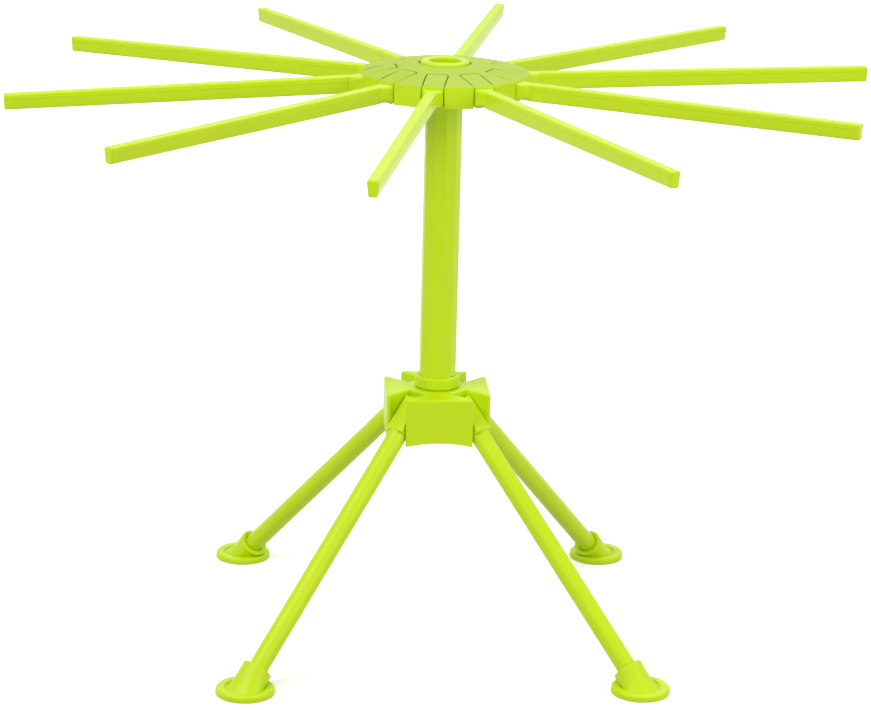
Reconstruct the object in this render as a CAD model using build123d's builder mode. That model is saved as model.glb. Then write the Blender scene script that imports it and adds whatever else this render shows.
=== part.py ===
# Collapsible drying rack. Ten arms fold down from a ten-sided hub, which sits on a
# hollow column, which stands on a square base with four folding legs.
#
# Millimetres. +Z is up and the front is towards -Y. The origin is on the floor under
# the middle of the column, and the legs lie on the diagonals. Everything is drawn as
# it stands in use: arms out, legs out, feet flat on the floor.

import os
from math import cos, radians, sin, sqrt, tan

from build123d import *

os.makedirs("parts", exist_ok=True)

# Whole rack
arm_count = 10
leg_count = 4
leg_turn = 45.0  # degrees from +X to the first leg
hub_turn = -3.0  # degrees from the first leg to the first arm
arm_reach = 215.0  # column axis to the end of an arm
rim_height = 288.0  # floor to the top edge of the hub's side
foot_reach = 138.0  # column axis to where a leg's line meets the floor
overrun = 2.0  # how far a cut passes the face that it opens

# Clearances
slide_gap = 0.3  # between an arm or leg and the slot that it folds in
fit_gap = 0.1  # between pieces that are pushed together
seat_gap = 0.03  # around a pin in its seat
pin_gap = 0.06  # around a pin in the piece that turns on it

# Hub: ten flat sides, a low crown and ten open slots
hub_flat = 40.9  # axis to the middle of a flat side
hub_side = 10.4  # height of the flat sides
crown_rise = 4.9  # how far the crown stands above the sides
hub_edge = 0.3  # rounding of the crown's edges
hub_upright_edge = 0.6  # rounding of the upright edges at the slots' mouths
hub_wall = 2.0
hub_skin = 2.4  # thickness of the crown over its cores
slot_width = 11.0
slot_inner = 24.0  # axis to the inner end of a slot
slot_corner = 2.0
hub_plate_thickness = 2.0
hub_boss = 12.6  # radius of the sleeve around the column
hub_core = 21.6  # outer radius of the ring-shaped core
tooth_core_inner = 33.0
tooth_core_width = 8.0
tooth_core_corner = 1.2

# Hinge of an arm
arm_pivot_radius = 29.3
arm_pivot_drop = 5.2  # below the top edge of the hub's side
arm_pin_radius = 1.5
arm_pin_length = 16.0

# Arm
arm_droop = 0.6  # degrees below level
# Degrees by which play in its hinge lets each arm hang lower, or stand higher where negative
arm_sags = (-0.4, -0.1, 0.4, 0.5, 1.7, 1.3, 0.8, 0.2, -0.6, -1.2)
arm_neck = 7.0  # length of the taper from the root block to the bar
arm_root_depth = 8.6  # height of the bar where it leaves the neck
arm_root_top = 6.0
arm_root_bottom = 4.4
arm_tip_depth = 7.6
arm_tip_top = 5.7
arm_tip_bottom = 4.1
arm_edge = 1.0
arm_crown_edge = 0.45  # rounding along the top of the root block
arm_tip_round = 0.8

# Column: a ten-sided tube whose flats face the arms
column_corner = 9.3  # axis to a corner of the section
column_edge = 0.6
column_bore = 7.4
column_head = 5.0  # from the top of the tube to the top of the crown

# Ring cap that holds the hub on the column
cap_radius = 12.3
cap_groove = 0.5
cap_proud = 1.2  # above the crown at the ring's edge
cap_seat_depth = 3.2
cap_hole = 7.75
cap_sleeve_radius = 7.3
cap_sleeve_bore = 6.1
cap_sleeve_length = 14.0
cap_lip = 1.6  # rounding of the ring's outer edge
cap_mouth = 1.2  # rounding of the ring's inner edge

# Screws under the hub
hub_screw_count = 5
hub_screw_ring = 17.2
hub_screw_boss = 3.1
screw_shank = 1.2
screw_head = 2.3
screw_head_depth = 1.3
screw_length = 8.0
screw_slot_width = 0.7
screw_slot_depth = 0.5

# Base block
base_width = 52.0
base_edge = 1.2
base_wall = 2.2
base_above_pivot = 11.8
base_below_pivot = 13.2
base_arch = 2.4  # how far the lower edge rises between the legs
base_arch_span = 38.0
base_plate_lift = 2.8  # from the lowest edge up to the underside of the plate
base_plate_thickness = 2.0
column_floor = 2.0  # web under the end of the column
base_slot_width = 10.6
base_slot_inner = 14.5
base_slot_corner = 0.5
base_screw_ring = 17.6

# Collar around the foot of the column
collar_radius = 11.2
collar_height = 5.4
collar_edge = 0.8
collar_neck_radius = 10.2
collar_neck_height = 0.8
collar_spigot = 3.0

# Leg
leg_tilt = 45.5  # degrees from vertical
leg_pivot_radius = 21.0
leg_pin_radius = 2.0
leg_pin_length = 17.0
leg_radius = 4.85
leg_root_width = 10.0
leg_root_depth = 10.0
leg_root_edge = 0.8
leg_root_length = 11.0  # root block beyond the pivot
leg_heel = 8.6  # root block behind the pivot

# Foot
pad_radius = 14.4
pad_web = 2.0
pad_rim = 3.3
pad_rim_width = 4.4
pad_edge = 1.2
pad_inner_edge = 0.6
pad_lower_edge = 0.4
pad_offset = 1.5  # pad centre inside the leg's line
socket_reach = 14.3  # from the floor to the socket's mouth, along the leg
socket_mouth = 7.6
socket_depth = 6.8
socket_foot_long = 9.8
socket_foot_wide = 9.8
socket_foot_offset = 2.6
socket_lip = 0.5

# Places that follow from the sizes above
side_count = arm_count
side_angle = 360 / side_count
arm_turn = leg_turn + hub_turn
hub_corner = hub_flat / cos(radians(side_angle / 2))
hub_bottom = rim_height - hub_side
hub_plate_top = hub_bottom + hub_plate_thickness
crown_radius = (hub_flat**2 + crown_rise**2) / (2 * crown_rise)
crown_centre = rim_height + crown_rise - crown_radius
crown_top = rim_height + crown_rise
slot_end = hub_corner + slot_corner + overrun
slot_middle = (slot_inner + slot_end) / 2
slot_length = slot_end - slot_inner
arm_pivot_height = rim_height - arm_pivot_drop
column_top = crown_top - column_head
cap_edge_height = crown_centre + sqrt(crown_radius**2 - cap_radius**2)
cap_top = cap_edge_height + cap_proud
cap_seat = cap_edge_height - cap_seat_depth

leg_rise = (foot_reach - leg_pivot_radius) / tan(radians(leg_tilt))
leg_pivot_height = leg_rise
leg_line = (foot_reach - leg_pivot_radius) / sin(radians(leg_tilt))
base_top = leg_pivot_height + base_above_pivot
base_bottom = leg_pivot_height - base_below_pivot
base_plate_bottom = base_bottom + base_plate_lift
base_plate_top = base_plate_bottom + base_plate_thickness
column_bottom = base_plate_top + column_floor
base_corner = base_width / 2 * sqrt(2)
base_slot_end = base_corner + base_slot_corner + overrun
base_slot_middle = (base_slot_inner + base_slot_end) / 2
base_slot_length = base_slot_end - base_slot_inner
base_arch_radius = ((base_arch_span / 2) ** 2 + base_arch**2) / (2 * base_arch)

leg_along = Vector(sin(radians(leg_tilt)), 0, -cos(radians(leg_tilt)))
leg_across = Vector(cos(radians(leg_tilt)), 0, sin(radians(leg_tilt)))
leg_pivot = Vector(leg_pivot_radius, 0, leg_pivot_height)
leg_floor = Vector(foot_reach, 0, 0)
arm_along = Vector(cos(radians(arm_droop)), 0, -sin(radians(arm_droop)))
arm_pivot = Vector(arm_pivot_radius, 0, arm_pivot_height)


def from_axis(edge):
    """Distance of an edge's middle from the column axis."""
    return sqrt(edge.center().X ** 2 + edge.center().Y ** 2)


def turned(piece, angle):
    """A copy of a piece turned about the column."""
    with BuildPart() as copy:
        with Locations(Location((0, 0, 0), (0, 0, angle))):
            add(piece)
    return copy.part


def keystone(top, bottom, depth, edge):
    """Cross-section of an arm: flat and wide on top, narrow and rounded below."""
    with BuildSketch(mode=Mode.PRIVATE) as section:
        Polygon(
            (-top / 2, depth / 2),
            (top / 2, depth / 2),
            (bottom / 2, -depth / 2),
            (-bottom / 2, -depth / 2),
            align=None,
        )
        fillet(section.vertices(), edge)
    return section.sketch


def countersunk_screws(places, top, turn):
    """Short screws driven upwards, heads level with the face at the given height."""
    with BuildPart() as screws:
        with Locations((0, 0, top)):
            with PolarLocations(places[0], places[1], start_angle=turn):
                Cylinder(screw_shank, screw_length, align=(Align.CENTER, Align.CENTER, Align.MIN))
                Cone(
                    screw_head,
                    screw_shank,
                    screw_head_depth,
                    align=(Align.CENTER, Align.CENTER, Align.MIN),
                )
                for across in (0, 90):
                    Box(
                        2 * screw_head,
                        screw_slot_width,
                        screw_slot_depth,
                        rotation=(0, 0, across),
                        align=(Align.CENTER, Align.CENTER, Align.MIN),
                        mode=Mode.SUBTRACT,
                    )
    return screws.part


# Hub cover: crowned top and sides in one moulding, with open slots for the arms
with BuildPart() as hub_cover:
    with BuildSketch(Plane.XY.offset(hub_bottom)):
        RegularPolygon(hub_flat, side_count, major_radius=False, rotation=arm_turn)
    extrude(amount=hub_side + crown_rise)
    with Locations((0, 0, crown_centre)):
        Sphere(crown_radius, mode=Mode.INTERSECT)
    with BuildSketch(Plane.XY.offset(hub_bottom)):
        with PolarLocations(slot_middle, arm_count, start_angle=arm_turn):
            RectangleRounded(slot_length, slot_width, slot_corner)
    extrude(amount=hub_side + crown_rise, mode=Mode.SUBTRACT)
    uprights = hub_cover.edges().filter_by(Axis.Z)
    fillet(uprights.filter_by(lambda edge: from_axis(edge) > hub_flat), hub_upright_edge)

    # Recess for the plate
    with BuildSketch(Plane.XY.offset(hub_bottom)):
        RegularPolygon(hub_flat - hub_wall, side_count, major_radius=False, rotation=arm_turn)
    extrude(amount=hub_plate_thickness, mode=Mode.SUBTRACT)

    # Cores that keep the walls thin: a ring around the sleeve, and one in each tooth
    with BuildSketch(Plane.XY.offset(hub_plate_top)):
        Circle(hub_core)
        Circle(hub_boss, mode=Mode.SUBTRACT)
        with PolarLocations(hub_screw_ring, hub_screw_count, start_angle=arm_turn + side_angle / 2):
            Circle(hub_screw_boss, mode=Mode.SUBTRACT)
    extrude(amount=crown_top - hub_skin - crown_rise / 2 - hub_plate_top, mode=Mode.SUBTRACT)
    tooth_core_outer = hub_flat - hub_wall
    with BuildSketch(Plane.XY.offset(hub_plate_top)):
        with PolarLocations(
            (tooth_core_inner + tooth_core_outer) / 2,
            arm_count,
            start_angle=arm_turn + side_angle / 2,
        ):
            RectangleRounded(
                tooth_core_outer - tooth_core_inner, tooth_core_width, tooth_core_corner
            )
    extrude(amount=hub_side - hub_plate_thickness - hub_skin, mode=Mode.SUBTRACT)

    # Seats for the hinge pins, open downwards so that the pins drop in
    with Locations((0, 0, arm_pivot_height)):
        with PolarLocations(arm_pivot_radius, arm_count, start_angle=arm_turn):
            Cylinder(
                arm_pin_radius + seat_gap,
                arm_pin_length + 2 * seat_gap,
                rotation=(90, 0, 0),
                mode=Mode.SUBTRACT,
            )
            Box(
                2 * (arm_pin_radius + seat_gap),
                arm_pin_length + 2 * seat_gap,
                arm_pivot_height - hub_plate_top,
                align=(Align.CENTER, Align.CENTER, Align.MAX),
                mode=Mode.SUBTRACT,
            )

    # Socket for the column, hole for the ring cap, and its sunk seat
    with BuildSketch(Plane.XY.offset(hub_bottom)):
        RegularPolygon(column_corner + fit_gap, side_count, rotation=arm_turn + side_angle / 2)
    extrude(amount=column_top - hub_bottom, mode=Mode.SUBTRACT)
    with BuildSketch(Plane.XY.offset(hub_bottom)):
        Circle(cap_sleeve_radius + fit_gap)
    extrude(amount=crown_top - hub_bottom, mode=Mode.SUBTRACT)
    with BuildSketch(Plane.XY.offset(cap_seat)):
        Circle(cap_radius + cap_groove)
    extrude(amount=crown_top - cap_seat, mode=Mode.SUBTRACT)

    # Pilot holes for the screws
    with BuildSketch(Plane.XY.offset(hub_plate_top)):
        with PolarLocations(hub_screw_ring, hub_screw_count, start_angle=arm_turn + side_angle / 2):
            Circle(screw_shank + seat_gap)
    extrude(amount=screw_length, mode=Mode.SUBTRACT)

    # Soft edges all round the crown, down into the slots and the ring's seat
    crown = hub_cover.faces().filter_by(GeomType.SPHERE).sort_by(SortBy.AREA)[-1]
    fillet(crown.outer_wire().edges(), hub_edge)
hub_cover.part.label = "hub_cover"
export_step(hub_cover.part, "parts/hub_cover.step")

# Hub plate: closes the underside and holds the hinge pins up in their seats
arm_keeper_length = (arm_pin_length - slot_width) / 2
arm_keeper_offset = (arm_pin_length + slot_width) / 4
with BuildPart() as hub_plate:
    with BuildSketch(Plane.XY.offset(hub_bottom)):
        RegularPolygon(
            hub_flat - hub_wall - fit_gap, side_count, major_radius=False, rotation=arm_turn
        )
        with PolarLocations(slot_middle, arm_count, start_angle=arm_turn):
            RectangleRounded(slot_length, slot_width, slot_corner, mode=Mode.SUBTRACT)
        RegularPolygon(
            column_corner + fit_gap,
            side_count,
            rotation=arm_turn + side_angle / 2,
            mode=Mode.SUBTRACT,
        )
    extrude(amount=hub_plate_thickness)
    with Locations((0, 0, hub_plate_top)):
        with PolarLocations(arm_pivot_radius, arm_count, start_angle=arm_turn):
            with Locations((0, arm_keeper_offset, 0), (0, -arm_keeper_offset, 0)):
                Box(
                    2 * arm_pin_radius,
                    arm_keeper_length,
                    arm_pivot_height - arm_pin_radius - seat_gap - hub_plate_top,
                    align=(Align.CENTER, Align.CENTER, Align.MIN),
                )
    with BuildSketch(Plane.XY.offset(hub_bottom)):
        with PolarLocations(hub_screw_ring, hub_screw_count, start_angle=arm_turn + side_angle / 2):
            Circle(screw_shank + seat_gap)
    extrude(amount=hub_plate_thickness, mode=Mode.SUBTRACT)
    with Locations((0, 0, hub_bottom)):
        with PolarLocations(hub_screw_ring, hub_screw_count, start_angle=arm_turn + side_angle / 2):
            Cone(
                screw_head + seat_gap,
                screw_shank + seat_gap,
                screw_head_depth,
                align=(Align.CENTER, Align.CENTER, Align.MIN),
                mode=Mode.SUBTRACT,
            )
hub_plate.part.label = "hub_plate"
export_step(hub_plate.part, "parts/hub_plate.step")

# Hinge pins of the arms
with BuildPart() as arm_pins:
    with Locations((0, 0, arm_pivot_height)):
        with PolarLocations(arm_pivot_radius, arm_count, start_angle=arm_turn):
            Cylinder(arm_pin_radius, arm_pin_length, rotation=(90, 0, 0))
arm_pins.part.label = "arm_pins"
export_step(arm_pins.part, "parts/arm_pins.step")

# Screws of the hub
hub_screws = countersunk_screws(
    (hub_screw_ring, hub_screw_count), hub_bottom, arm_turn + side_angle / 2
)
hub_screws.label = "hub_screws"
export_step(hub_screws, "parts/hub_screws.step")

# Ring cap: a rounded ring with a sleeve that is pushed into the column
with BuildPart() as column_cap:
    with BuildSketch(Plane.XZ):
        with BuildLine():
            Polyline(
                (cap_hole, cap_top),
                (cap_radius, cap_top),
                (cap_radius, cap_seat),
                (cap_sleeve_radius, cap_seat),
                (cap_sleeve_radius, cap_seat - cap_sleeve_length),
                (cap_sleeve_bore, cap_seat - cap_sleeve_length),
                (cap_sleeve_bore, cap_seat),
                (cap_hole, cap_seat + cap_hole - cap_sleeve_bore),
                close=True,
            )
        make_face()
    revolve(axis=Axis.Z)
    top_edges = column_cap.edges().filter_by(GeomType.CIRCLE).group_by(Axis.Z)[-1]
    fillet(top_edges.sort_by(SortBy.RADIUS)[-1], cap_lip)
    top_edges = column_cap.edges().filter_by(GeomType.CIRCLE).group_by(Axis.Z)[-1]
    fillet(top_edges.sort_by(SortBy.RADIUS)[0], cap_mouth)
column_cap.part.label = "column_cap"
export_step(column_cap.part, "parts/column_cap.step")

# Column
with BuildPart() as column:
    with BuildSketch(Plane.XY.offset(column_bottom)) as column_section:
        RegularPolygon(column_corner, side_count, rotation=arm_turn + side_angle / 2)
        fillet(column_section.vertices(), column_edge)
        Circle(column_bore, mode=Mode.SUBTRACT)
    extrude(amount=column_top - column_bottom)
column.part.label = "column"
export_step(column.part, "parts/column.step")

# Arms
root_back = slot_inner + slide_gap
root_width = slot_width - 2 * slide_gap
root_heel = arm_pivot_radius - root_back
root_front = hub_flat
neck_end = root_front + arm_neck


def arm_line_height(radius):
    """Height of an arm's middle line at a distance from the column axis."""
    return arm_pivot_height - (radius - arm_pivot_radius) * tan(radians(arm_droop))


with BuildPart() as arm:
    # Root block, whose top carries on the crown of the hub
    with BuildSketch(Plane.XZ):
        with BuildLine():
            heel_end = (arm_pivot_radius, arm_pivot_height - root_heel)
            Line((root_back, crown_top), (root_back, arm_pivot_height))
            TangentArc((root_back, arm_pivot_height), heel_end, tangent=(0, -1))
            Line(heel_end, (root_front, arm_pivot_height - root_heel))
            Line((root_front, arm_pivot_height - root_heel), (root_front, crown_top))
            Line((root_front, crown_top), (root_back, crown_top))
        make_face()
    extrude(amount=root_width / 2, both=True)
    outline = arm.faces().filter_by(Axis.Y).edges()
    lower = outline.filter_by(lambda edge: edge.center().Z < crown_top)
    fillet(lower.filter_by(lambda edge: edge.center().X < root_front), slot_corner - slide_gap)
    with Locations((0, 0, crown_centre)):
        Sphere(crown_radius, mode=Mode.INTERSECT)
    crown = arm.faces().filter_by(GeomType.SPHERE).sort_by(SortBy.AREA)[-1]
    sides = crown.edges().filter_by(lambda edge: edge.center().X < root_front - slide_gap)
    fillet(sides, arm_crown_edge)

    # Neck, from the root block to the bar
    root_top = crown_centre + sqrt(crown_radius**2 - root_front**2)
    root_low = arm_pivot_height - root_heel
    with BuildSketch(Plane((root_front, 0, 0), x_dir=(0, 1, 0), z_dir=(1, 0, 0))):
        with Locations((0, (root_top + root_low) / 2)):
            RectangleRounded(root_width, root_top - root_low - 2 * arm_edge, arm_edge)
    neck_line = arm_line_height(neck_end)
    with BuildSketch(Plane((neck_end, 0, neck_line), x_dir=(0, 1, 0), z_dir=(1, 0, 0))):
        add(keystone(arm_root_top, arm_root_bottom, arm_root_depth, arm_edge))
    loft()

    # Bar, slightly thinner towards its end
    tip_line = arm_line_height(arm_reach)
    with BuildSketch(Plane((neck_end, 0, neck_line), x_dir=(0, 1, 0), z_dir=(1, 0, 0))):
        add(keystone(arm_root_top, arm_root_bottom, arm_root_depth, arm_edge))
    with BuildSketch(Plane((arm_reach, 0, tip_line), x_dir=(0, 1, 0), z_dir=(1, 0, 0))):
        add(keystone(arm_tip_top, arm_tip_bottom, arm_tip_depth, arm_edge))
    loft()
    fillet(arm.faces().sort_by(Axis.X)[-1].edges(), arm_tip_round)

    # Hole for the hinge pin
    with Locations(arm_pivot):
        Cylinder(
            arm_pin_radius + pin_gap, slot_width, rotation=(90, 0, 0), mode=Mode.SUBTRACT
        )

for number in range(arm_count):
    angle = arm_turn + number * side_angle
    settled = arm.part.rotate(Axis(arm_pivot, (0, 1, 0)), arm_sags[number])
    arm_copy = turned(settled, angle)
    arm_copy.label = f"arm_{number + 1}"
    export_step(arm_copy, f"parts/{arm_copy.label}.step")

# Base body: a square block with a slot for a leg at each corner
with BuildPart() as base_body:
    with BuildSketch(Plane.XY.offset(base_bottom)):
        Rectangle(base_width, base_width)
    extrude(amount=base_top - base_bottom)
    with BuildSketch(Plane.XY.offset(base_bottom)):
        with PolarLocations(base_slot_middle, leg_count, start_angle=leg_turn):
            RectangleRounded(base_slot_length, base_slot_width, base_slot_corner)
    extrude(amount=base_top - base_bottom, mode=Mode.SUBTRACT)
    uprights = base_body.edges().filter_by(Axis.Z)
    fillet(uprights.filter_by(lambda edge: from_axis(edge) > base_width / 2), base_edge)
    fillet(base_body.faces().sort_by(Axis.Z)[-1].outer_wire().edges(), base_edge)

    # Recess for the plate, and the arched lower edge
    with BuildSketch(Plane.XY.offset(base_bottom)):
        Rectangle(base_width - 2 * base_wall, base_width - 2 * base_wall)
    extrude(amount=base_plate_top - base_bottom, mode=Mode.SUBTRACT)
    with Locations((0, 0, base_bottom + base_arch - base_arch_radius)):
        for across in ((90, 0, 0), (0, 90, 0)):
            Cylinder(
                base_arch_radius,
                base_width + 2 * overrun,
                rotation=across,
                mode=Mode.SUBTRACT,
            )

    # Seats for the hinge pins, open downwards
    with Locations((0, 0, leg_pivot_height)):
        with PolarLocations(leg_pivot_radius, leg_count, start_angle=leg_turn):
            Cylinder(
                leg_pin_radius + seat_gap,
                leg_pin_length + 2 * seat_gap,
                rotation=(90, 0, 0),
                mode=Mode.SUBTRACT,
            )
            Box(
                2 * (leg_pin_radius + seat_gap),
                leg_pin_length + 2 * seat_gap,
                leg_pivot_height - base_plate_top,
                align=(Align.CENTER, Align.CENTER, Align.MAX),
                mode=Mode.SUBTRACT,
            )

    # Socket for the column and counterbore for the collar
    with BuildSketch(Plane.XY.offset(column_bottom)):
        RegularPolygon(column_corner + fit_gap, side_count, rotation=arm_turn + side_angle / 2)
    extrude(amount=base_top - column_bottom, mode=Mode.SUBTRACT)
    with BuildSketch(Plane.XY.offset(base_top - collar_spigot)):
        Circle(collar_neck_radius + fit_gap)
    extrude(amount=collar_spigot, mode=Mode.SUBTRACT)

    # Pilot holes for the screws
    with BuildSketch(Plane.XY.offset(base_plate_top)):
        with PolarLocations(base_screw_ring, leg_count):
            Circle(screw_shank + seat_gap)
    extrude(amount=screw_length, mode=Mode.SUBTRACT)
base_body.part.label = "base_body"
export_step(base_body.part, "parts/base_body.step")

# Base plate: closes the underside and holds the hinge pins up in their seats
leg_keeper_length = (leg_pin_length - base_slot_width) / 2
leg_keeper_offset = (leg_pin_length + base_slot_width) / 4
with BuildPart() as base_plate:
    with BuildSketch(Plane.XY.offset(base_plate_bottom)):
        Rectangle(
            base_width - 2 * base_wall - 2 * fit_gap, base_width - 2 * base_wall - 2 * fit_gap
        )
        with PolarLocations(base_slot_middle, leg_count, start_angle=leg_turn):
            RectangleRounded(
                base_slot_length, base_slot_width, base_slot_corner, mode=Mode.SUBTRACT
            )
    extrude(amount=base_plate_thickness)
    with Locations((0, 0, base_plate_top)):
        with PolarLocations(leg_pivot_radius, leg_count, start_angle=leg_turn):
            with Locations((0, leg_keeper_offset, 0), (0, -leg_keeper_offset, 0)):
                Box(
                    2 * leg_pin_radius,
                    leg_keeper_length,
                    leg_pivot_height - leg_pin_radius - seat_gap - base_plate_top,
                    align=(Align.CENTER, Align.CENTER, Align.MIN),
                )
    with BuildSketch(Plane.XY.offset(base_plate_bottom)):
        with PolarLocations(base_screw_ring, leg_count):
            Circle(screw_shank + seat_gap)
    extrude(amount=base_plate_thickness, mode=Mode.SUBTRACT)
    with Locations((0, 0, base_plate_bottom)):
        with PolarLocations(base_screw_ring, leg_count):
            Cone(
                screw_head + seat_gap,
                screw_shank + seat_gap,
                screw_head_depth,
                align=(Align.CENTER, Align.CENTER, Align.MIN),
                mode=Mode.SUBTRACT,
            )
base_plate.part.label = "base_plate"
export_step(base_plate.part, "parts/base_plate.step")

# Collar around the foot of the column, with a spigot down into the base
with BuildPart() as base_collar:
    with BuildSketch(Plane.XY.offset(base_top - collar_spigot)):
        Circle(collar_neck_radius)
    extrude(amount=collar_spigot + collar_neck_height)
    with BuildSketch(Plane.XY.offset(base_top + collar_neck_height)):
        Circle(collar_radius)
    extrude(amount=collar_height)
    fillet(base_collar.faces().sort_by(Axis.Z)[-1].edges(), collar_edge)
    with BuildSketch(Plane.XY.offset(base_top - collar_spigot)):
        RegularPolygon(column_corner + fit_gap, side_count, rotation=arm_turn + side_angle / 2)
    extrude(amount=collar_spigot + collar_neck_height + collar_height, mode=Mode.SUBTRACT)
base_collar.part.label = "base_collar"
export_step(base_collar.part, "parts/base_collar.step")

# Hinge pins of the legs
with BuildPart() as leg_pins:
    with Locations((0, 0, leg_pivot_height)):
        with PolarLocations(leg_pivot_radius, leg_count, start_angle=leg_turn):
            Cylinder(leg_pin_radius, leg_pin_length, rotation=(90, 0, 0))
leg_pins.part.label = "leg_pins"
export_step(leg_pins.part, "parts/leg_pins.step")

# Screws of the base
base_screws = countersunk_screws((base_screw_ring, leg_count), base_plate_bottom, 0)
base_screws.label = "base_screws"
export_step(base_screws, "parts/base_screws.step")

# Legs: a round bar with a wider, square root block that turns in the base
leg_end = leg_line - socket_reach + socket_depth - fit_gap
with BuildPart() as leg:
    with BuildSketch(Plane(leg_pivot - leg_along * leg_heel, x_dir=(0, 1, 0), z_dir=leg_along)):
        RectangleRounded(leg_root_width, leg_root_depth, leg_root_edge)
    extrude(amount=leg_heel + leg_root_length)
    with BuildSketch(Plane(leg_pivot, x_dir=(0, 1, 0), z_dir=leg_along)):
        Circle(leg_radius)
    extrude(amount=leg_end)
    # The flat back of the heel rests on the end of the slot when the leg is out
    with Locations((base_slot_inner + slide_gap, 0, leg_pivot_height)):
        Box(
            2 * leg_heel,
            2 * leg_root_width,
            4 * leg_heel,
            align=(Align.MAX, Align.CENTER, Align.CENTER),
            mode=Mode.SUBTRACT,
        )
    with Locations(leg_pivot):
        Cylinder(
            leg_pin_radius + pin_gap,
            base_slot_width,
            rotation=(90, 0, 0),
            mode=Mode.SUBTRACT,
        )

# Feet: a round pad with a raised rim and a tapered socket for the end of the leg
pad_centre = foot_reach - pad_offset
socket_mouth_centre = leg_floor - leg_along * socket_reach
with BuildPart() as foot:
    with BuildSketch(Plane.XY):
        with Locations((pad_centre, 0)):
            Circle(pad_radius)
    extrude(amount=pad_rim)
    with BuildSketch(Plane.XY.offset(pad_web)):
        with Locations((pad_centre, 0)):
            Circle(pad_radius - pad_rim_width)
    extrude(amount=pad_rim - pad_web, mode=Mode.SUBTRACT)
    rim_edges = foot.edges().group_by(Axis.Z)[-1].sort_by(SortBy.RADIUS)
    fillet(rim_edges[0], pad_inner_edge)
    rim_edges = foot.edges().group_by(Axis.Z)[-1].sort_by(SortBy.RADIUS)
    fillet(rim_edges[-1], pad_edge)
    fillet(foot.edges().group_by(Axis.Z)[0], pad_lower_edge)

    with BuildSketch(Plane.XY.offset(pad_web / 2)):
        with Locations((foot_reach - socket_foot_offset, 0)):
            Ellipse(socket_foot_long, socket_foot_wide)
    with BuildSketch(Plane(socket_mouth_centre, x_dir=leg_across, z_dir=-leg_along)):
        Circle(socket_mouth)
    loft()
    with BuildSketch(Plane(socket_mouth_centre, x_dir=(0, 1, 0), z_dir=leg_along)):
        Circle(leg_radius + fit_gap)
    extrude(amount=socket_depth, mode=Mode.SUBTRACT)
    mouth_edges = foot.edges().filter_by(GeomType.CIRCLE).group_by(Axis.Z)[-1]
    fillet(mouth_edges.sort_by(SortBy.RADIUS)[-1], socket_lip)

for number, place in enumerate(("back_right", "back_left", "front_left", "front_right")):
    angle = leg_turn + number * 360 / leg_count
    leg_copy = turned(leg.part, angle)
    leg_copy.label = f"leg_{place}"
    export_step(leg_copy, f"parts/{leg_copy.label}.step")
    foot_copy = turned(foot.part, angle)
    foot_copy.label = f"foot_{place}"
    export_step(foot_copy, f"parts/{foot_copy.label}.step")
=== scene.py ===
"""Collapsible drying rack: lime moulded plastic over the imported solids."""

import math

import bmesh
import bpy
from mathutils import Matrix, Vector


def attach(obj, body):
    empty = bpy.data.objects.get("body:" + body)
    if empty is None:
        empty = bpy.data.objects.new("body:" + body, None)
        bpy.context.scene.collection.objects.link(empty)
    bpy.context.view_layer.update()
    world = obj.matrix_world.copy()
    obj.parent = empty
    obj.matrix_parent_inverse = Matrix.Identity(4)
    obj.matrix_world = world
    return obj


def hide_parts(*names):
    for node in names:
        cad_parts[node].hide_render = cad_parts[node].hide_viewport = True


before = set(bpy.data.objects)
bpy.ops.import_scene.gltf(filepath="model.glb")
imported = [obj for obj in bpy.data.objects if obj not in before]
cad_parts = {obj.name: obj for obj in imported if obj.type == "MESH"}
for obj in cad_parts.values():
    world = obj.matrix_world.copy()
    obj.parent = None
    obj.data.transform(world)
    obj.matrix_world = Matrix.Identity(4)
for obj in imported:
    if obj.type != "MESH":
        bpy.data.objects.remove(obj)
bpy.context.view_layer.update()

MM = 0.001

# The camera, as worked out from the arm tips and the feet in the photograph
IMAGE_WIDTH = 871
SENSOR_WIDTH = 36.0
CAMERA_DISTANCE = 1.5263
CAMERA_HEIGHT = 0.5909
CAMERA_TURN = math.radians(-4.09)
CAMERA_PITCH = math.radians(16.364)
CAMERA_YAW = math.radians(-0.043)
CAMERA_ROLL = math.radians(1.425)
FOCAL_PIXELS = 3157.5

# Where the crown of the hub lies, in millimetres
CROWN_RADIUS = 41.6
CROWN_HEIGHT = 287.3
RING_RADIUS = 12.6
PLATE_TOP = 276.0
SLOT_REACH = 38.2

# Finishes: sizes of what the moulds and the plating leave, in millimetres. Spark erosion
# leaves pits of about 0.1 mm, which are drawn coarser here so that they show.
CLOUD_SIZE = 45
SMEAR_SIZE = 9
PIT_SIZE = 0.45
PIT_DEPTH = 0.03
SPANGLE_SIZE = 1.2

# The plastic on the crown, and the dark green painted as shade in the slots
CROWN_COLOUR = "AAC41E"
CROWN_ROUGHNESS = 0.55
SLOT_SHADE_COLOUR = "6E8408"

# A surface's upward share, from which it is a top, and up to which it is a side
UPWARD_FROM = 0.62
SIDEWAYS_UP_TO = 0.6


def hex_colour(code):
    """An sRGB hex colour as linear RGBA."""
    values = [int(code[i : i + 2], 16) / 255 for i in (0, 2, 4)]
    linear = [v / 12.92 if v <= 0.04045 else ((v + 0.055) / 1.055) ** 2.4 for v in values]
    return (*linear, 1.0)


def add_node(tree, kind, settings=None, inputs=None):
    """Adds a node; an input is a value or the socket that feeds it."""
    node = tree.nodes.new(kind)
    for name, value in (settings or {}).items():
        setattr(node, name, value)
    for key, value in (inputs or {}).items():
        if isinstance(value, bpy.types.NodeSocket):
            tree.links.new(value, node.inputs[key])
        else:
            node.inputs[key].default_value = value
    return node


def new_material(name):
    material = bpy.data.materials.new(name)
    material.use_nodes = True
    material.node_tree.nodes.clear()
    return material, material.node_tree


def per_metre(size_mm):
    """Texture scale whose features are about this size."""
    return 1 / (size_mm * MM)


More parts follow.
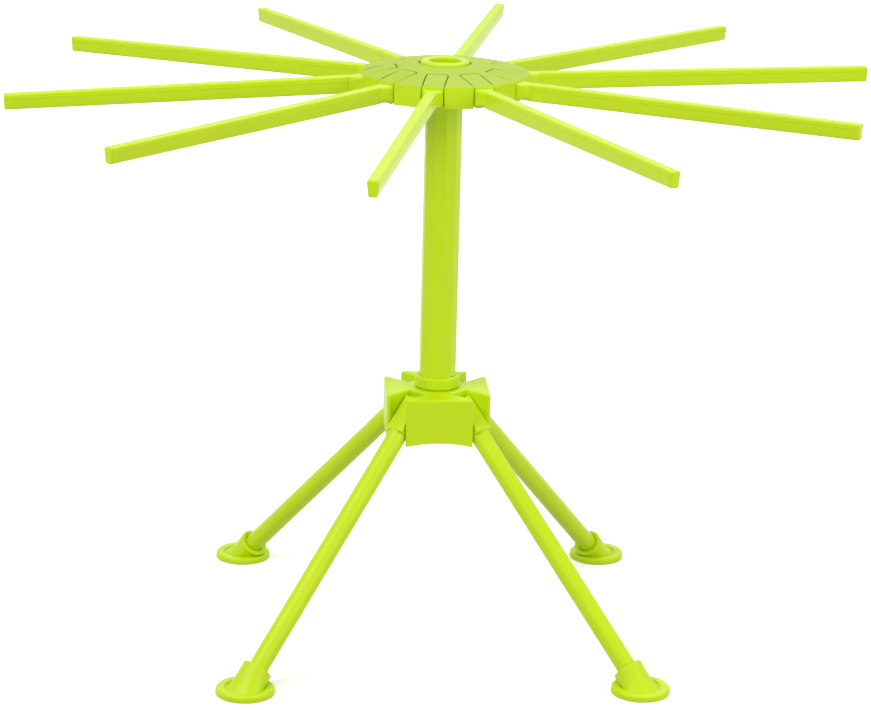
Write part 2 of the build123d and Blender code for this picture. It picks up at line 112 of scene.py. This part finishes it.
def where_all(tree, tests):
    """One where every test holds; a test is an operation and what goes into it."""
    held = 1.0
    for operation, *values in tests:
        test = add_node(
            tree, "ShaderNodeMath", {"operation": operation}, dict(enumerate(values))
        )
        held = add_node(
            tree, "ShaderNodeMath", {"operation": "MULTIPLY"}, {0: held, 1: test.outputs["Value"]}
        ).outputs["Value"]
    return held


def moulded_abs(name, light, dark, roughness, grain_mm, grain_depth_mm, coat):
    """Injection-moulded ABS: faint flow clouds, a slightly uneven gloss and a fine skin.

    The crown of the hub and the tops of the arms' root blocks come from a spark-eroded
    part of the mould, so there the same plastic is paler, duller and finely pitted.
    """
    material, tree = new_material(name)
    coordinates = add_node(tree, "ShaderNodeTexCoord")
    place = coordinates.outputs["Object"]
    clouds = add_node(
        tree,
        "ShaderNodeTexNoise",
        inputs={"Vector": place, "Scale": per_metre(CLOUD_SIZE), "Detail": 3.0, "Roughness": 0.55},
    )
    colour = add_node(
        tree,
        "ShaderNodeMix",
        {"data_type": "RGBA"},
        {"Factor": clouds.outputs["Fac"], "A": hex_colour(dark), "B": hex_colour(light)},
    )
    smears = add_node(
        tree,
        "ShaderNodeTexNoise",
        inputs={"Vector": place, "Scale": per_metre(SMEAR_SIZE), "Detail": 4.0, "Roughness": 0.6},
    )
    gloss = add_node(
        tree,
        "ShaderNodeMapRange",
        inputs={
            "Value": smears.outputs["Fac"],
            "To Min": roughness * 0.85,
            "To Max": roughness * 1.2,
        },
    )

    axes = add_node(tree, "ShaderNodeSeparateXYZ", inputs={"Vector": place})
    height = axes.outputs["Z"]
    flat_place = add_node(
        tree,
        "ShaderNodeCombineXYZ",
        inputs={"X": axes.outputs["X"], "Y": axes.outputs["Y"], "Z": 0.0},
    )
    from_column = add_node(
        tree, "ShaderNodeVectorMath", {"operation": "LENGTH"}, {0: flat_place.outputs["Vector"]}
    ).outputs["Value"]
    facing_up = add_node(
        tree, "ShaderNodeSeparateXYZ", inputs={"Vector": coordinates.outputs["Normal"]}
    ).outputs["Z"]

    # The crown is what faces up within the hub's radius, above the top edge of its sides
    crown = where_all(
        tree,
        [
            ("LESS_THAN", from_column, CROWN_RADIUS * MM),
            ("GREATER_THAN", from_column, RING_RADIUS * MM),
            ("GREATER_THAN", height, CROWN_HEIGHT * MM),
            ("GREATER_THAN", facing_up, UPWARD_FROM),
        ],
    )
    crown_colour = add_node(
        tree,
        "ShaderNodeMix",
        {"data_type": "RGBA"},
        {"Factor": crown, "A": colour.outputs["Result"], "B": hex_colour(CROWN_COLOUR)},
    )
    crown_gloss = add_node(
        tree,
        "ShaderNodeMix",
        inputs={"Factor": crown, "A": gloss.outputs["Result"], "B": CROWN_ROUGHNESS},
    )

    # Painted shade: the walls of the hub's slots, and the arms' roots in them, are coloured dark
    # for the deep shade they lie in
    painted_slot_shade = where_all(
        tree,
        [
            ("GREATER_THAN", from_column, RING_RADIUS * MM),
            ("COMPARE", facing_up, 0.0, SIDEWAYS_UP_TO),
            ("GREATER_THAN", height, PLATE_TOP * MM),
            ("LESS_THAN", from_column, SLOT_REACH * MM),
        ],
    )
    shaded_colour = add_node(
        tree,
        "ShaderNodeMix",
        {"data_type": "RGBA"},
        {"Factor": painted_slot_shade, "A": crown_colour.outputs["Result"], "B": hex_colour(SLOT_SHADE_COLOUR)},
    )

    # The skin: a soft ripple everywhere, and pits on the crown
    ripple = add_node(
        tree,
        "ShaderNodeTexNoise",
        inputs={"Vector": place, "Scale": per_metre(grain_mm), "Detail": 2.0, "Roughness": 0.5},
    )
    pits = add_node(
        tree,
        "ShaderNodeTexNoise",
        inputs={"Vector": place, "Scale": per_metre(PIT_SIZE), "Detail": 2.0, "Roughness": 0.6},
    )
    pit_depth = add_node(
        tree,
        "ShaderNodeMath",
        {"operation": "MULTIPLY"},
        {0: pits.outputs["Fac"], 1: crown},
    )
    skin = add_node(
        tree,
        "ShaderNodeBump",
        inputs={"Strength": 1.0, "Distance": grain_depth_mm * MM, "Height": ripple.outputs["Fac"]},
    )
    pitted = add_node(
        tree,
        "ShaderNodeBump",
        inputs={
            "Strength": 1.0,
            "Distance": PIT_DEPTH * MM,
            "Height": pit_depth.outputs["Value"],
            "Normal": skin.outputs["Normal"],
        },
    )
    shader = add_node(
        tree,
        "ShaderNodeBsdfPrincipled",
        inputs={
            "Base Color": shaded_colour.outputs["Result"],
            "Roughness": crown_gloss.outputs["Result"],
            "Normal": pitted.outputs["Normal"],
            "IOR": 1.53,
            "Specular IOR Level": 0.26,
            "Coat Weight": coat,
            "Coat Roughness": 0.12,
        },
    )
    add_node(
        tree, "ShaderNodeOutputMaterial", inputs={"Surface": shader.outputs["BSDF"]}
    )
    return material


def zinc_plated_steel(name):
    """Zinc-plated steel pins and screws: pale grey with a soft, cloudy shine."""
    material, tree = new_material(name)
    place = add_node(tree, "ShaderNodeTexCoord").outputs["Object"]
    spangle = add_node(
        tree,
        "ShaderNodeTexNoise",
        inputs={"Vector": place, "Scale": per_metre(SPANGLE_SIZE), "Detail": 3.0},
    )
    gloss = add_node(
        tree,
        "ShaderNodeMapRange",
        inputs={"Value": spangle.outputs["Fac"], "To Min": 0.28, "To Max": 0.48},
    )
    shader = add_node(
        tree,
        "ShaderNodeBsdfPrincipled",
        inputs={
            "Base Color": hex_colour("C9CCCE"),
            "Metallic": 1.0,
            "Roughness": gloss.outputs["Result"],
        },
    )
    add_node(
        tree, "ShaderNodeOutputMaterial", inputs={"Surface": shader.outputs["BSDF"]}
    )
    return material


# Lime ABS: a soft, satin shine with broad highlights, and a matt crown. Zinc-plated steel: pale
# and cloudy, brighter than the plastic round it.
polished_lime = moulded_abs("moulded_lime_abs", "CCE80A", "C2DE04", 0.4, 1.6, 0.012, 0.04)
plated_steel = zinc_plated_steel("zinc_plated_steel")

STEEL_NODES = ("arm_pins", "leg_pins", "hub_screws", "base_screws")
for name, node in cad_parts.items():
    finish = plated_steel if name in STEEL_NODES else polished_lime
    for slot in node.material_slots:
        slot.material = finish


# Sizes shared with the solids, in millimetres
ARM_COUNT = 10
FIRST_ARM = 42.0
ARM_PIVOT = Vector((29.3, 0.0, 282.8))
ARM_DROOP = math.radians(0.6)
ARM_SAGS = (-0.4, -0.1, 0.4, 0.5, 1.7, 1.3, 0.8, 0.2, -0.6, -1.2)
NECK_END = 47.9
ARM_REACH = 215.0
FOOT_REACH = 138.0
LEG_TILT = math.radians(45.5)
FEET = {
    "back_right": 45.0,
    "back_left": 135.0,
    "front_left": 225.0,
    "front_right": 315.0,
}


def object_from(name, data):
    """An object in the scene for a mesh, a lamp's light or a camera's lens."""
    made = bpy.data.objects.new(name, data)
    bpy.context.collection.objects.link(made)
    return made


def skin_rings(name, rings, material):
    """A closed mesh over rings of points, with a point at each end; lengths in millimetres."""
    build = bmesh.new()
    rows = [[build.verts.new(Vector(p) * MM) for p in ring] for ring in rings]
    count = len(rings[0])
    for low, high in zip(rows, rows[1:]):
        for i in range(count):
            j = (i + 1) % count
            build.faces.new((low[i], low[j], high[j], high[i]))
    for row in (rows[0], rows[-1]):
        middle = sum((v.co for v in row), Vector()) / count
        centre = build.verts.new(middle)
        for i in range(count):
            build.faces.new((row[i], row[(i + 1) % count], centre))
    bmesh.ops.recalc_face_normals(build, faces=build.faces)
    mesh = bpy.data.meshes.new(name)
    build.to_mesh(mesh)
    build.free()
    for face in mesh.polygons:
        face.use_smooth = True
    mesh.materials.append(material)
    return object_from(name, mesh)


def arc(centre, radius, start, end, steps):
    """Points along an arc whose turns are in degrees, as pairs."""
    turns = [math.radians(start + (end - start) * i / steps) for i in range(steps + 1)]
    return [(centre[0] + radius * math.cos(t), centre[1] + radius * math.sin(t)) for t in turns]


# The feet: soft-edged round pads whose tapered sockets flare out into the pad
PAD_RADIUS = 14.4
PAD_CENTRE = 136.5
PAD_RIM = 3.3
PAD_FLOOR = 1.9
RIM_INNER = 10.0
RIM_ROUND = 1.35
GROOVE_ROUND = 0.55
SOCKET_CENTRE = 135.4
SOCKET_LONG = 9.8
SOCKET_WIDE = 9.8
SOCKET_REACH = 14.3
MOUTH_RADIUS = 7.6
MOUTH_ROUND = 0.7
MOUTH_GAP = 0.15
LEG_RADIUS = 4.85
POCKET_DEPTH = 5.0
FLARE = 1.1
FLARE_BEND = 0.3
RIM_GAP = 0.25
SOLE_ROUND = 0.4
RING_POINTS = 96
FLARE_STEPS = 14

# The pad's underside from its middle outwards, as radius and height: two grip rings
UNDERSIDE = [(2.0, 0.6), (5.0, 0.6), (5.4, 0.15), (6.2, 0.15), (6.6, 0.6), (8.4, 0.6)]
UNDERSIDE += [(8.8, 0.15), (9.6, 0.15), (10.0, 0.6), (11.4, 0.6), (11.8, 0.0)]

# The socket's pocket, as depth from the mouth and gap round the leg
POCKET = ((0.0, 2 * MOUTH_GAP), (0.5, MOUTH_GAP), (POCKET_DEPTH, MOUTH_GAP))


def pad_profile():
    """Underside, outer edge, raised rim and groove, as radius and height."""
    foot_edge = arc((PAD_RADIUS - SOLE_ROUND, SOLE_ROUND), SOLE_ROUND, -90, 0, 4)
    rim_edge = arc((PAD_RADIUS - RIM_ROUND, PAD_RIM - RIM_ROUND), RIM_ROUND, 0, 90, 8)
    inner = (RIM_INNER + GROOVE_ROUND, PAD_RIM - GROOVE_ROUND)
    return UNDERSIDE + foot_edge + rim_edge + arc(inner, GROOVE_ROUND, 90, 180, 5)


def foot_rings():
    """Rings of a foot that points along +X."""
    turns = [2 * math.pi * i / RING_POINTS for i in range(RING_POINTS)]
    along = Vector((math.sin(LEG_TILT), 0, -math.cos(LEG_TILT)))
    across = Vector((math.cos(LEG_TILT), 0, math.sin(LEG_TILT)))
    side = Vector((0, 1, 0))
    pad_middle = Vector((PAD_CENTRE, 0, 0))
    mouth = Vector((FOOT_REACH, 0, 0)) - along * SOCKET_REACH
    rings = [
        [pad_middle + Vector((r * math.cos(t), r * math.sin(t), z)) for t in turns]
        for r, z in pad_profile()
    ]

    base_ring = []
    for t in turns:
        edge = Vector((SOCKET_CENTRE + SOCKET_LONG * math.cos(t), SOCKET_WIDE * math.sin(t), 0))
        out = edge - pad_middle
        out *= min(1.0, (RIM_INNER - RIM_GAP) / out.length)
        base_ring.append(pad_middle + out + Vector((0, 0, PAD_FLOOR)))
    rings.append(base_ring)

    lip_middle = mouth + along * MOUTH_ROUND
    lip_ring = [
        lip_middle + (across * math.cos(t) + side * math.sin(t)) * MOUTH_RADIUS for t in turns
    ]
    for step in range(1, FLARE_STEPS + 1):
        share = step / FLARE_STEPS
        ring = []
        for low, high in zip(base_ring, lip_ring):
            inward = (pad_middle - low).normalized() * FLARE
            bend = low.lerp(high, FLARE_BEND) + Vector((inward.x, inward.y, 0))
            ring.append(
                low * (1 - share) ** 2 + bend * 2 * share * (1 - share) + high * share**2
            )
        rings.append(ring)
    for r, z in arc((MOUTH_RADIUS - MOUTH_ROUND, 0), MOUTH_ROUND, 0, 90, 5)[1:]:
        middle = lip_middle - along * z
        rings.append([middle + (across * math.cos(t) + side * math.sin(t)) * r for t in turns])
    for depth, gap in POCKET:
        middle = mouth + along * depth
        r = LEG_RADIUS + gap
        rings.append([middle + (across * math.cos(t) + side * math.sin(t)) * r for t in turns])
    return rings


def turned(points, degrees):
    turn = Matrix.Rotation(math.radians(degrees), 3, "Z")
    return [turn @ p for p in points]


for place, degrees in FEET.items():
    rings = [turned(ring, degrees) for ring in foot_rings()]
    foot = skin_rings(f"soft_foot_{place}", rings, polished_lime)
    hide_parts(f"foot_{place}")
    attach(foot, f"leg_{place}")


def node_group(name, inputs):
    """An empty Geometry Nodes tree with named inputs and one mesh output."""
    tree = bpy.data.node_groups.new(name, "GeometryNodeTree")
    tree.interface.new_socket("Geometry", in_out="OUTPUT", socket_type="NodeSocketGeometry")
    for label, kind in inputs:
        tree.interface.new_socket(label, in_out="INPUT", socket_type=kind)
    return tree


def grown(name, tree, values):
    """Runs a tree with its named inputs set and keeps the result as a plain mesh."""
    carrier = object_from(f"{name}_carrier", bpy.data.meshes.new(f"{name}_carrier"))
    modifier = carrier.modifiers.new("grow", "NODES")
    modifier.node_group = tree
    for item in tree.interface.items_tree:
        if item.item_type == "SOCKET" and item.in_out == "INPUT":
            modifier[item.identifier] = values[item.name]
    graph = bpy.context.evaluated_depsgraph_get()
    mesh = bpy.data.meshes.new_from_object(carrier.evaluated_get(graph))
    mesh.name = name
    bpy.data.objects.remove(carrier)
    return object_from(name, mesh)


def mould_line_tree():
    """Two fine raised lines, one on each side: the seams that the mould halves leave."""
    tree = node_group(
        "mould_line",
        [
            ("Start", "NodeSocketVector"),
            ("End", "NodeSocketVector"),
            ("Mirrored Start", "NodeSocketVector"),
            ("Mirrored End", "NodeSocketVector"),
            ("Half Width", "NodeSocketFloat"),
            ("Finish", "NodeSocketMaterial"),
        ],
    )
    given = add_node(tree, "NodeGroupInput").outputs
    near = add_node(
        tree,
        "GeometryNodeCurvePrimitiveLine",
        inputs={"Start": given["Start"], "End": given["End"]},
    )
    far = add_node(
        tree,
        "GeometryNodeCurvePrimitiveLine",
        inputs={"Start": given["Mirrored Start"], "End": given["Mirrored End"]},
    )
    both = add_node(tree, "GeometryNodeJoinGeometry")
    tree.links.new(near.outputs["Curve"], both.inputs["Geometry"])
    tree.links.new(far.outputs["Curve"], both.inputs["Geometry"])
    profile = add_node(
        tree,
        "GeometryNodeCurvePrimitiveCircle",
        inputs={"Resolution": 8, "Radius": given["Half Width"]},
    )
    swept = add_node(
        tree,
        "GeometryNodeCurveToMesh",
        inputs={
            "Curve": both.outputs["Geometry"],
            "Profile Curve": profile.outputs["Curve"],
            "Fill Caps": True,
        },
    )
    real = add_node(
        tree, "GeometryNodeRealizeInstances", inputs={"Geometry": swept.outputs["Mesh"]}
    )
    finished = add_node(
        tree,
        "GeometryNodeSetMaterial",
        inputs={"Geometry": real.outputs["Geometry"], "Material": given["Finish"]},
    )
    add_node(tree, "NodeGroupOutput", inputs={"Geometry": finished.outputs["Geometry"]})
    return tree


def arm_point(radius, side, lift, number):
    """A point beside an arm's middle line, in metres, where that arm stands."""
    turn = FIRST_ARM + number * 360 / ARM_COUNT
    out = radius - ARM_PIVOT.x
    hang = Matrix.Rotation(math.radians(ARM_SAGS[number]), 3, "Y")
    offset = hang @ Vector((out, side, lift - out * math.tan(ARM_DROOP)))
    return Matrix.Rotation(math.radians(turn), 3, "Z") @ (ARM_PIVOT + offset) * MM


# The bars: a keystone section with rounded corners, wide on top, from root to tip
BAR_TOP = (6.0, 5.7)
BAR_BOTTOM = (4.4, 4.1)
BAR_DEPTH = (8.6, 7.6)
BAR_EDGE = 1.0
BAR_SKIN = 0.03
CORNER_STEPS = 7

# Where the skin of a bar starts and stops, how deep its ends are sunk, and the width of the
# strip at each end that keeps the shading of the end off the rest
SKIN_START = NECK_END + 0.1
SKIN_END = ARM_REACH - 0.9
SUNK = 0.3
END_STRIP = 0.5


def bar_ring(radius, number, proud):
    """Section of an arm's bar, as far outside the solid as proud says."""
    share = (radius - NECK_END) / (ARM_REACH - NECK_END)
    top, bottom, depth = (a + (b - a) * share for a, b in (BAR_TOP, BAR_BOTTOM, BAR_DEPTH))
    slope = math.atan((top - bottom) / 2 / depth)
    inset = BAR_EDGE / math.cos(slope)
    high = (top / 2 - BAR_EDGE * math.tan(slope) - inset, depth / 2 - BAR_EDGE)
    low = (bottom / 2 + BAR_EDGE * math.tan(slope) - inset, BAR_EDGE - depth / 2)
    tilt = math.degrees(slope)
    right = arc(low, BAR_EDGE + proud, -90, -tilt, CORNER_STEPS)
    right += arc(high, BAR_EDGE + proud, -tilt, 90, CORNER_STEPS)
    outline = right + [(-side, lift) for side, lift in reversed(right)]
    return [arm_point(radius, side, lift, number) / MM for side, lift in outline]


for number in range(ARM_COUNT):
    places = (SKIN_START, SKIN_START + END_STRIP, SKIN_END - END_STRIP, SKIN_END)
    rings = [bar_ring(r, number, BAR_SKIN) for r in places]
    rings.insert(0, bar_ring(SKIN_START, number, -SUNK))
    rings.append(bar_ring(SKIN_END, number, -SUNK))
    bar = skin_rings(f"arm_bar_{number + 1}", rings, polished_lime)
    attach(bar, f"arm_{number + 1}")


# The mould lines, by their distances from the arm's middle line
SEAM_START = 48.5
SEAM_END = 213.0
SEAM_HALF_WIDTH = 0.16
SEAM_LIFT_ROOT = 1.9
SEAM_LIFT_TIP = 1.7
SEAM_SIDE_ROOT = 2.84
SEAM_SIDE_TIP = 2.68
seam_tree = mould_line_tree()
for number in range(ARM_COUNT):
    seam = grown(
        f"arm_seam_{number + 1}",
        seam_tree,
        {
            "Start": arm_point(SEAM_START, SEAM_SIDE_ROOT, SEAM_LIFT_ROOT, number),
            "End": arm_point(SEAM_END, SEAM_SIDE_TIP, SEAM_LIFT_TIP, number),
            "Mirrored Start": arm_point(SEAM_START, -SEAM_SIDE_ROOT, SEAM_LIFT_ROOT, number),
            "Mirrored End": arm_point(SEAM_END, -SEAM_SIDE_TIP, SEAM_LIFT_TIP, number),
            "Half Width": SEAM_HALF_WIDTH * MM,
            "Finish": polished_lime,
        },
    )
    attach(seam, f"arm_{number + 1}")


# The studio, in metres and watts: a lamp's place, the side of its soft box, and its power
LAMPS = {
    "key_softbox": ((-1.2, -0.9, 1.7), 1.5, 27),
    "fill_softbox": ((1.5, -1.0, 0.9), 1.2, 15),
    "back_softbox": ((0.4, 1.2, 1.8), 1.2, 12),
}
LAMP_TARGET = Vector((0, 0, 0.2))
FLOOR_REACH = 6.0
AMBIENT = 0.42
FLOOR_WHITE = "FFFFFF"
FLOOR_TO_LIGHT = "C4C4C4"

# The floor's glow: distance from the middle and strength, where it starts and where it is full
GLOW_FROM, GLOW_TO = (0.25, 0.2), (1.6, 0.8)


def shows_background(tree):
    """One for the rays that show the backdrop: straight, mirrored or through clear things."""
    path = add_node(tree, "ShaderNodeLightPath")
    shows = path.outputs["Is Camera Ray"]
    for ray in ("Is Glossy Ray", "Is Transmission Ray"):
        shows = add_node(
            tree, "ShaderNodeMath", {"operation": "MAXIMUM"}, {0: shows, 1: path.outputs[ray]}
        ).outputs["Value"]
    return shows


def backdrop_material(name):
    """White where it is seen or mirrored, with its faint shadows; a dim sheet to all other rays.

    The glow evens out the fall-off of the lamps away from the rack.
    """
    material, tree = new_material(name)
    shows = shows_background(tree)
    paper = add_node(
        tree,
        "ShaderNodeMix",
        {"data_type": "RGBA"},
        {"Factor": shows, "A": hex_colour(FLOOR_TO_LIGHT), "B": hex_colour(FLOOR_WHITE)},
    )
    diffuse = add_node(
        tree, "ShaderNodeBsdfDiffuse", inputs={"Color": paper.outputs["Result"]}
    )
    place = add_node(tree, "ShaderNodeTexCoord").outputs["Object"]
    from_middle = add_node(tree, "ShaderNodeVectorMath", {"operation": "LENGTH"}, {0: place})
    evening = add_node(
        tree,
        "ShaderNodeMapRange",
        inputs={
            "Value": from_middle.outputs["Value"],
            "From Min": GLOW_FROM[0],
            "From Max": GLOW_TO[0],
            "To Min": GLOW_FROM[1],
            "To Max": GLOW_TO[1],
        },
    )
    strength = add_node(
        tree,
        "ShaderNodeMath",
        {"operation": "MULTIPLY"},
        {0: shows, 1: evening.outputs["Result"]},
    )
    glow = add_node(
        tree, "ShaderNodeEmission", inputs={"Strength": strength.outputs["Value"]}
    )
    both = add_node(
        tree,
        "ShaderNodeAddShader",
        inputs={0: diffuse.outputs["BSDF"], 1: glow.outputs["Emission"]},
    )
    add_node(
        tree, "ShaderNodeOutputMaterial", inputs={"Surface": both.outputs["Shader"]}
    )
    return material


def make_floor():
    mesh = bpy.data.meshes.new("studio_floor")
    turns = ((-1, -1), (1, -1), (1, 1), (-1, 1))
    corners = [(x * FLOOR_REACH, y * FLOOR_REACH, 0) for x, y in turns]
    mesh.from_pydata(corners, [], [(0, 1, 2, 3)])
    mesh.materials.append(backdrop_material("white_floor"))
    object_from("studio_floor", mesh)


def make_world():
    """White to the camera, in reflections and through clear things; plain soft light otherwise."""
    world = bpy.data.worlds.new("studio")
    bpy.context.scene.world = world
    world.use_nodes = True
    tree = world.node_tree
    tree.nodes.clear()
    strength = add_node(
        tree,
        "ShaderNodeMapRange",
        inputs={"Value": shows_background(tree), "To Min": AMBIENT, "To Max": 1.0},
    )
    sky = add_node(
        tree,
        "ShaderNodeBackground",
        inputs={"Color": hex_colour("FFFFFF"), "Strength": strength.outputs["Result"]},
    )
    add_node(
        tree, "ShaderNodeOutputWorld", inputs={"Surface": sky.outputs["Background"]}
    )


def add_lamp(name, place, size, power):
    """A square soft box aimed at the middle of the rack."""
    light = bpy.data.lights.new(name, "AREA")
    light.size = size
    light.energy = power
    lamp = object_from(name, light)
    lamp.location = place
    aim = LAMP_TARGET - Vector(place)
    lamp.rotation_mode = "QUATERNION"
    lamp.rotation_quaternion = aim.to_track_quat("-Z", "Y")


def add_camera():
    """The photograph's view: placed in front, then turned round the column with the legs."""
    forward = Vector(
        (
            math.sin(CAMERA_YAW) * math.cos(CAMERA_PITCH),
            math.cos(CAMERA_YAW) * math.cos(CAMERA_PITCH),
            -math.sin(CAMERA_PITCH),
        )
    )
    right = forward.cross(Vector((0, 0, 1))).normalized()
    up = right.cross(forward)
    right_rolled = right * math.cos(CAMERA_ROLL) + up * math.sin(CAMERA_ROLL)
    up_rolled = up * math.cos(CAMERA_ROLL) - right * math.sin(CAMERA_ROLL)
    axes = Matrix((right_rolled, up_rolled, -forward)).transposed().to_4x4()
    place = Matrix.Translation((0, -CAMERA_DISTANCE, CAMERA_HEIGHT))
    lens = bpy.data.cameras.new("camera")
    lens.sensor_width = SENSOR_WIDTH
    lens.lens = FOCAL_PIXELS / IMAGE_WIDTH * SENSOR_WIDTH
    camera = object_from("camera", lens)
    camera.matrix_world = Matrix.Rotation(CAMERA_TURN, 4, "Z") @ place @ axes
    bpy.context.scene.camera = camera


make_floor()
make_world()
for name, (place, size, power) in LAMPS.items():
    add_lamp(name, place, size, power)
add_camera()
bpy.context.scene.view_settings.view_transform = "Standard"
